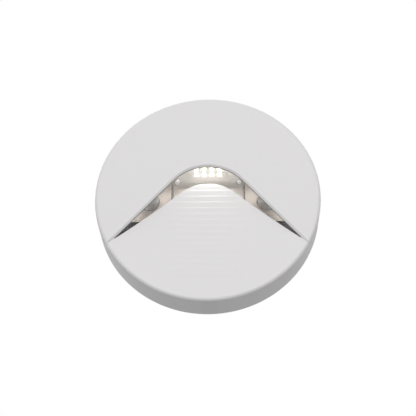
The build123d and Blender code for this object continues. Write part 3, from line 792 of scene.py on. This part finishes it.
# %% Step ends
step_pitch = 4.24
step_start = 13.15
step_count = 16
step_height = 0.18
step_rise_share = 0.75
end_from = 9.0
end_reach = 25.5
end_stride = 1.5
end_sink = 0.15
end_fade = 0.8
end_clearance = 0.4


def step_end(build, foot, side):
    """One step end: a wedge that follows the trough out to the side until the ramp stops."""
    crest = foot + step_pitch * step_rise_share
    top = foot + step_pitch
    first_height = step_height - trough(end_from)
    rings = []
    x = end_from
    while x <= end_reach and ramp_is_open(side * x, top + end_clearance):
        share = (x - end_from) / (end_reach - end_from)
        height = first_height * (1.0 - end_fade * share**2)
        base = trough(x)
        ring = (
            (foot, base - end_sink),
            (foot, base),
            (crest, base + height),
            (top, base),
            (top, base - end_sink),
        )
        rings.append([build.verts.new(on_ramp(side * x, run, level)) for run, level in ring])
        x += end_stride
    if len(rings) < 2:
        for ring in rings:
            bmesh.ops.delete(build, geom=ring, context="VERTS")
        return
    corners = len(rings[0])
    for first, second in zip(rings, rings[1:]):
        for here in range(corners):
            after = (here + 1) % corners
            build.faces.new((first[here], first[after], second[after], second[here]))
    build.faces.new(rings[0])
    build.faces.new(rings[-1])


def draw_step_ends(build):
    for number in range(step_count):
        for side in (-1.0, 1.0):
            step_end(build, step_start + number * step_pitch, side)


bpy.context.view_layer.update()
step_ends = piece_mesh("step_ends", draw_step_ends)
print("step ends have", len(step_ends.polygons), "faces")
add_piece("step_ends", step_ends, white_powder_coat)

# %% [markdown]
# ## Edge trims of the lamp bracket
#
# The sheet that carries the lamp board ends just short of the beige tray. A push-on trim covers
# each raw edge, so the leads can't chafe on it and no hard dark line shows beside the lamps. On
# the slope its section is a U round the sheet. Below the bend the sheet lies on the back plate,
# so one wall of the U is left off there.

# %% Silicone trims
pale_silicone = finish(
    "pale silicone",
    light=(0.72, 0.69, 0.65),
    dark=(0.62, 0.59, 0.55),
    rough=(0.45, 0.60),
    grain_mm=0.3,
    swell_mm=1.5,
    bump_mm=0.008,
    tone_mm=(6.0, 0.6),
)
sheet_front = 5.8
sheet_back = 7.0
sheet_edge = 23.0
trim_wall = 0.45
trim_round_x = trim_wall * 0.7
trim_round_depth = trim_wall * 0.5
trim_grip = 0.7
trim_top = 2.0
trim_bottom = 16.0
foot_front = -7.7
plate_front = -6.5
foot_from = -3.8
foot_to = 13.5
fit = 0.02


def draw_edge_trims(build):
    middle_drop = (trim_top + trim_bottom) / 2
    for side in (-1.0, 1.0):
        section = (
            (sheet_edge - trim_grip, sheet_front - trim_wall),
            (sheet_edge + trim_round_x, sheet_front - trim_wall),
            (sheet_edge + trim_wall, sheet_front - trim_round_depth),
            (sheet_edge + trim_wall, sheet_back + trim_round_depth),
            (sheet_edge + trim_round_x, sheet_back + trim_wall),
            (sheet_edge - trim_grip, sheet_back + trim_wall),
            (sheet_edge - trim_grip, sheet_back + fit),
            (sheet_edge + fit, sheet_back + fit),
            (sheet_edge + fit, sheet_front - fit),
            (sheet_edge - trim_grip, sheet_front - fit),
        )
        outline = [on_slope(side * x, middle_drop, depth) for x, depth in section]
        prism(build, outline, down_window * (trim_bottom - trim_top))
        foot_section = (
            (sheet_edge - trim_grip, foot_front - trim_wall),
            (sheet_edge + trim_round_x, foot_front - trim_wall),
            (sheet_edge + trim_wall, foot_front - trim_round_depth),
            (sheet_edge + trim_wall, plate_front - fit),
            (sheet_edge + fit, plate_front - fit),
            (sheet_edge + fit, foot_front - fit),
            (sheet_edge - trim_grip, foot_front - fit),
        )
        foot_middle = (foot_from + foot_to) / 2
        foot_outline = [Vector((side * x, y, foot_middle)) for x, y in foot_section]
        prism(build, foot_outline, Vector((0.0, 0.0, foot_to - foot_from)))


add_piece("edge_trims", piece_mesh("edge_trims", draw_edge_trims), pale_silicone)

# %% [markdown]
# ## Legs and solder on the driver board
#
# The chip and the rectifier stand on gull-wing legs: out from the body, down, and out again
# along the board. The capacitor, the choke and the fuse have round wires that go through the
# board and end in a small cone of solder, as the leads do.

# %% Gull-wing legs
board_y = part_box("driver_board")[0][1] / MM
out_of_board = Vector((0.0, -1.0, 0.0))
leg_foot = 0.65
leg_out = 0.45
leg_thickness = 0.2
leg_root = 0.25
leg_straight_share = 0.6
shoulder_drop = 0.15
knee_height = 0.25
knee_out = 0.08
toe_height = 0.12
toe_out = 0.22


def draw_gull_legs(build):
    for node, count, pitch, width, rise in (
        ("driver_chip", 4, 1.27, 0.42, 0.75),
        ("driver_rectifier", 2, 4.0, 0.95, 1.20),
    ):
        low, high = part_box(node)
        middle_x = (low[0] + high[0]) / 2 / MM
        for edge_z, way in ((low[2] / MM, -1.0), (high[2] / MM, 1.0)):
            for number in range(count):
                x = middle_x + (number - (count - 1) / 2) * pitch
                start = Vector((x, board_y, edge_z))
                out = Vector((0.0, 0.0, way))
                path = [
                    start + out_of_board * rise - out * leg_root,
                    start + out_of_board * rise + out * leg_out * leg_straight_share,
                    start + out_of_board * (rise - shoulder_drop) + out * leg_out,
                    start + out_of_board * knee_height + out * (leg_out + knee_out),
                    start + out_of_board * toe_height + out * (leg_out + toe_out),
                    start + out_of_board * toe_height + out * (leg_out + leg_foot),
                ]
                bent_strip(build, path, right * width, leg_thickness)


add_piece("gull_legs", piece_mesh("gull_legs", draw_gull_legs), tinned_copper)

# %% Round legs of the capacitor, the choke and the fuse
can_low, can_high = [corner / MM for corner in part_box("driver_capacitor")]
choke_low, choke_high = [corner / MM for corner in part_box("driver_inductor")]
fuse_low, fuse_high = [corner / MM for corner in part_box("driver_fuse")]
can_middle = (can_low + can_high) / 2
choke_middle = (choke_low + choke_high) / 2
fuse_middle = (fuse_low + fuse_high) / 2

can_pin_out = 1.6
can_pin_half = 1.25
can_bend = 0.9
fuse_pin_out = 1.3
fuse_bend = 0.6
fuse_turn = 0.7
fuse_root = 0.05
choke_pin_out = 0.7
choke_pin_half = 1.5
lead_pin_x = 20.5
lead_pin_rows = (-30.0, -37.5)
pin_root = 0.1
pin_radius = 0.28

can_pins = [
    (can_low.x - can_pin_out, can_middle.z + offset) for offset in (-can_pin_half, can_pin_half)
]
fuse_pins = [
    (fuse_middle.x, fuse_low.z - fuse_pin_out),
    (fuse_middle.x, fuse_high.z + fuse_pin_out),
]
choke_pins = [
    (choke_low.x - choke_pin_out, choke_middle.z + offset)
    for offset in (-choke_pin_half, choke_pin_half)
]
lead_pins = [(side * lead_pin_x, z) for side in (-1.0, 1.0) for z in lead_pin_rows]

leg_routes = []
for x, z in can_pins:
    leg_routes.append(
        [
            (can_low.x + pin_root, can_middle.y, z),
            (can_low.x - can_bend, can_middle.y, z),
            (x, can_middle.y, z),
            (x, can_middle.y + can_bend, z),
            (x, board_y + pin_root, z),
        ]
    )
for (x, z), end_z in zip(fuse_pins, (fuse_low.z, fuse_high.z)):
    inward = 1.0 if z < end_z else -1.0
    leg_routes.append(
        [
            (x, fuse_middle.y, end_z + fuse_root * inward),
            (x, fuse_middle.y, end_z - fuse_bend * inward),
            (x, fuse_middle.y, z),
            (x, fuse_middle.y + fuse_turn, z),
            (x, board_y + pin_root, z),
        ]
    )
round_legs = wire_curve("round_legs", leg_routes, pin_radius)
add_piece("round_legs", round_legs, tinned_copper)


# %% Solder cones
cone_profile = ((0.95, 0.0), (0.90, 0.06), (0.55, 0.20), (0.38, 0.45), (0.30, 0.80), (0.12, 0.92))


def draw_solder_cones(build):
    for x, z in can_pins + fuse_pins + choke_pins + lead_pins:
        turned(build, Vector((x, board_y, z)), out_of_board, cone_profile, sides=18)


cones = piece_mesh("solder_cones", draw_solder_cones)
for face in cones.polygons:
    face.use_smooth = True
add_piece("solder_cones", cones, solder)

# %% [markdown]
# ## Copper winding of the choke
#
# The ferrite core is a drum with two flanges. Enamelled copper wire lies in its waist in close
# turns and leaves for the board at both ends. A helix is a formula, so the route is a few
# points to each turn.

# %% Winding
enamelled_copper = finish(
    "enamelled copper",
    light=(0.72, 0.32, 0.16),
    dark=(0.55, 0.22, 0.10),
    rough=(0.18, 0.30),
    metal=1.0,
    grain_mm=0.3,
    swell_mm=1.0,
    bump_mm=0.004,
    tone_mm=(3.0, 0.4),
    coat=0.5,
)
winding_wire = 0.21
waist_radius = 3.5
waist_gap = 0.04
flange_thickness = 0.9
flange_gap = 0.05
tail_out = 0.15
winding_radius = waist_radius + winding_wire + waist_gap
winding_from = choke_high.y - flange_thickness - winding_wire - flange_gap
winding_to = choke_low.y + flange_thickness + winding_wire + flange_gap
turns = 6
points_per_turn = 12


def winding_route():
    total = turns * points_per_turn
    route = []
    for step in range(total + 1):
        turn = 2 * math.pi * step / points_per_turn + math.pi
        height = winding_from + (winding_to - winding_from) * step / total
        route.append(
            (
                choke_middle.x + winding_radius * math.cos(turn),
                height,
                choke_middle.z + winding_radius * math.sin(turn),
            )
        )
    return route


coil = winding_route()
tails = []
for end, (pin_x, pin_z) in zip((coil[0], coil[-1]), choke_pins):
    tails.append(
        [
            end,
            (choke_low.x - tail_out, end[1], pin_z),
            (pin_x, (end[1] + board_y) / 2, pin_z),
            (pin_x, board_y + pin_root, pin_z),
        ]
    )
add_piece(
    "choke_winding",
    wire_curve("choke_winding", [coil] + tails, winding_wire),
    enamelled_copper,
)

# %% [markdown]
# ## Scored top of the capacitor
#
# The sleeve leaves the aluminium top of the can bare, and the top is scored with a cross so
# that it can open gently if the capacitor fails. Four quarter discs with a gap between them
# make the score as real grooves.

# %% Four quarters of the can's top
top_radius = 2.55
top_thickness = 0.12
score_half = 0.14
arc_steps = 8


def draw_can_top(build):
    centre = Vector((can_high.x + top_thickness / 2, can_middle.y, can_middle.z))
    edge = math.asin(score_half / top_radius)
    for quarter in range(4):
        start = quarter * math.pi / 2
        corner_turn = start + math.pi / 4
        corner = Vector((0.0, math.cos(corner_turn), math.sin(corner_turn)))
        outline = [corner * (score_half * math.sqrt(2))]
        for step in range(arc_steps + 1):
            turn = start + edge + (math.pi / 2 - edge * 2) * step / arc_steps
            outline.append(Vector((0.0, math.cos(turn), math.sin(turn))) * top_radius)
        prism(build, [centre + point for point in outline], right * top_thickness)


add_piece("capacitor_top", piece_mesh("capacitor_top", draw_can_top), stainless)

# %% [markdown]
# ## Floor and background
#
# The photograph has a pure white background and no visible floor, because the camera looks up
# at the light. A pale floor well below still catches the light for the other views. The world
# is white to the camera and to reflections, and a plain grey to everything that it lights.

# %% Which rays look at the studio
def rays_that_look(tree):
    """A value of 1 for camera rays, reflections and rays through the lens, and 0 for light."""
    rays = tree.nodes.new("ShaderNodeLightPath")
    direct = tree.nodes.new("ShaderNodeMath")
    either = tree.nodes.new("ShaderNodeMath")
    direct.operation = either.operation = "MAXIMUM"
    link = tree.links.new
    link(rays.outputs["Is Camera Ray"], direct.inputs[0])
    link(rays.outputs["Is Transmission Ray"], direct.inputs[1])
    link(direct.outputs["Value"], either.inputs[0])
    link(rays.outputs["Is Glossy Ray"], either.inputs[1])
    return either.outputs["Value"]


# %% Floor
floor_drop = -0.62
floor_half = 7.0
floor_colour = (0.50, 0.50, 0.50)
floor_white_share = 0.86


def whiten_floor(material):
    """Lift the floor towards white where it is looked at, and keep a share of its shadow."""
    tree = material.node_tree
    white = tree.nodes.new("ShaderNodeEmission")
    white.inputs["Strength"].default_value = 1.0
    share = tree.nodes.new("ShaderNodeMath")
    share.operation = "MULTIPLY"
    share.inputs[1].default_value = floor_white_share
    mix = tree.nodes.new("ShaderNodeMixShader")
    link = tree.links.new
    link(rays_that_look(tree), share.inputs[0])
    link(share.outputs["Value"], mix.inputs["Fac"])
    link(tree.nodes["Principled BSDF"].outputs["BSDF"], mix.inputs[1])
    link(white.outputs["Emission"], mix.inputs[2])
    link(mix.outputs["Shader"], tree.nodes["Material Output"].inputs["Surface"])


def make_floor():
    mesh = bpy.data.meshes.new("floor")
    build = bmesh.new()
    corners = ((-1.0, -1.0), (1.0, -1.0), (1.0, 1.0), (-1.0, 1.0))
    places = [(x * floor_half, y * floor_half, floor_drop) for x, y in corners]
    build.faces.new([build.verts.new(place) for place in places])
    build.to_mesh(mesh)
    build.free()
    floor = bpy.data.objects.new("floor", mesh)
    bpy.context.collection.objects.link(floor)
    material = finish(
        "pale floor",
        light=floor_colour,
        dark=tuple(channel * 0.97 for channel in floor_colour),
        rough=(0.75, 0.85),
        grain_mm=3.0,
        swell_mm=40.0,
        bump_mm=0.05,
        tone_mm=(600.0, 20.0),
    )
    whiten_floor(material)
    mesh.materials.append(material)


make_floor()


# %% World: white to look at, grey as a light
world_light = 0.455


def make_world():
    world = bpy.data.worlds.new("studio")
    bpy.context.scene.world = world
    world.use_nodes = True
    tree = world.node_tree
    backdrop = tree.nodes["Background"]
    backdrop.inputs["Color"].default_value = (1.0, 1.0, 1.0, 1.0)
    backdrop.inputs["Strength"].default_value = 1.0
    ambient = tree.nodes.new("ShaderNodeBackground")
    ambient.inputs["Color"].default_value = (1.0, 0.995, 0.99, 1.0)
    ambient.inputs["Strength"].default_value = world_light
    mix = tree.nodes.new("ShaderNodeMixShader")
    out = tree.nodes["World Output"]
    link = tree.links.new
    link(rays_that_look(tree), mix.inputs["Fac"])
    link(ambient.outputs["Background"], mix.inputs[1])
    link(backdrop.outputs["Background"], mix.inputs[2])
    link(mix.outputs["Shader"], out.inputs["Surface"])


make_world()

# %% [markdown]
# ## Lamps of the studio
#
# A large soft lamp in front and a little above gives the face its even white. The rim's
# underside stays grey because little light comes from below.


# %% Softboxes
def softbox(name, place, size, power):
    """A square white area lamp at a place, turned towards the middle of the light."""
    light = bpy.data.lights.new(name, "AREA")
    light.shape = "SQUARE"
    light.size = size
    light.energy = power
    lamp = bpy.data.objects.new(name, light)
    lamp.location = place
    lamp.rotation_euler = (-Vector(place)).to_track_quat("-Z", "Y").to_euler()
    bpy.context.collection.objects.link(lamp)
    print(name, power, "W")


softbox("key", place=(0.1, -1.9, 0.75), size=1.6, power=19.3)
softbox("left fill", place=(-1.4, -0.5, 0.8), size=0.9, power=1.6)

# %% [markdown]
# ## The light that the window throws back
#
# A few percent of the lamps' light comes back from the lens and brightens the tray, the bosses
# and the board behind it. The straight path that shadow rays take through the lens leaves that
# part out, so faint strip lamps just behind the lens put it back: two behind each arm of the
# eyebrow, a broad one before the lamp board, and a smaller one, the halo, close before the
# lamps. All of them face inwards, and an area lamp doesn't show from behind.


# %% Strip lamps behind the lens
def strip_lamp(name, middle_mm, along, facing, size_mm, power):
    """A thin one-sided lamp inside the casing, with its length and its aim given as directions."""
    light = bpy.data.lights.new(name, "AREA")
    light.shape = "RECTANGLE"
    light.size, light.size_y = [side * MM for side in size_mm]
    light.energy = power
    light.color = (1.0, 0.98, 0.95)
    lamp = bpy.data.objects.new(name, light)
    along = along.normalized()
    across = facing.cross(along).normalized()
    aim = along.cross(across).normalized()
    turn = Matrix((along, across, -aim)).transposed()
    lamp.matrix_world = Matrix.Translation(Vector(middle_mm) * MM) @ turn.to_4x4()
    bpy.context.collection.objects.link(lamp)
    print(name, "aimed at", tuple(round(value, 2) for value in aim))
    return lamp


arm_fall = math.radians(48.0)
strip_dip = math.radians(20.0)
strip_y = -17.5
inner_x, inner_z = 28.0, 6.0
outer_x, outer_z = 48.0, -9.0
board_strip_drop, board_strip_depth = 8.0, 2.4
halo_drop, halo_depth = 6.9, 2.9
into_casing = Vector((0.0, math.cos(strip_dip), -math.sin(strip_dip)))
for side in (-1.0, 1.0):
    down_arm = Vector((side * math.cos(arm_fall), 0.0, -math.sin(arm_fall)))
    inner_place = (side * inner_x, strip_y, inner_z)
    outer_place = (side * outer_x, strip_y, outer_z)
    strip_lamp("inner strip", inner_place, down_arm, into_casing, size_mm=(8.0, 3.0), power=0.00042)
    strip_lamp("outer strip", outer_place, down_arm, into_casing, size_mm=(12.0, 3.0), power=0.0006)

board_place = on_slope(0.0, board_strip_drop, board_strip_depth)
strip_lamp(
    "board strip", board_place, right, behind_window, size_mm=(50.0, 10.0), power=0.00055
)
halo_place = on_slope(0.0, halo_drop, halo_depth)
strip_lamp("halo", halo_place, right, behind_window, size_mm=(20.0, 8.0), power=0.00027)

# %% [markdown]
# ## The light that leaves the lamps
#
# One lamp stands just in front of the wells and shines out through the window onto the ramp. It
# is wider than the rows of wells, so its light spreads over the ramp. It is hidden from camera
# rays, reflections and rays through the lens, so the wells behind it keep their own look.

# %% The wash lamp
wash_drop, wash_depth = 5.7, 3.7
wells_middle = on_slope(0.0, wash_drop, wash_depth)
wash = strip_lamp(
    "wash", wells_middle, right, -behind_window, size_mm=(28.0, 6.5), power=0.0076
)
wash.visible_camera = False
wash.visible_transmission = False
wash.visible_glossy = False

# %% [markdown]
# ## Camera
#
# The photograph looks up at the light from 26 degrees below and a touch from the right. The
# camera's three directions are written out, and a very small shift sets the drum where it
# stands in the frame.

# %% Camera
camera_place = Vector((0.0189, -0.6366, -0.3085))
camera_right = Vector((0.9996, 0.0273, 0.0049))
camera_up = Vector((0.0075, -0.4359, 0.8999))
camera_forward = Vector((-0.0267, 0.8995, 0.4359))


def make_camera():
    data = bpy.data.cameras.new("camera")
    data.lens = 96.0
    data.sensor_width = 36.0
    data.shift_x = -0.0014
    data.shift_y = 0.0084
    data.clip_start = 0.01
    camera = bpy.data.objects.new("camera", data)
    turn = Matrix((camera_right, camera_up, -camera_forward)).transposed()
    camera.matrix_world = Matrix.Translation(camera_place) @ turn.to_4x4()
    bpy.context.collection.objects.link(camera)
    bpy.context.scene.camera = camera


make_camera()
bpy.context.scene.view_settings.view_transform = "Standard"
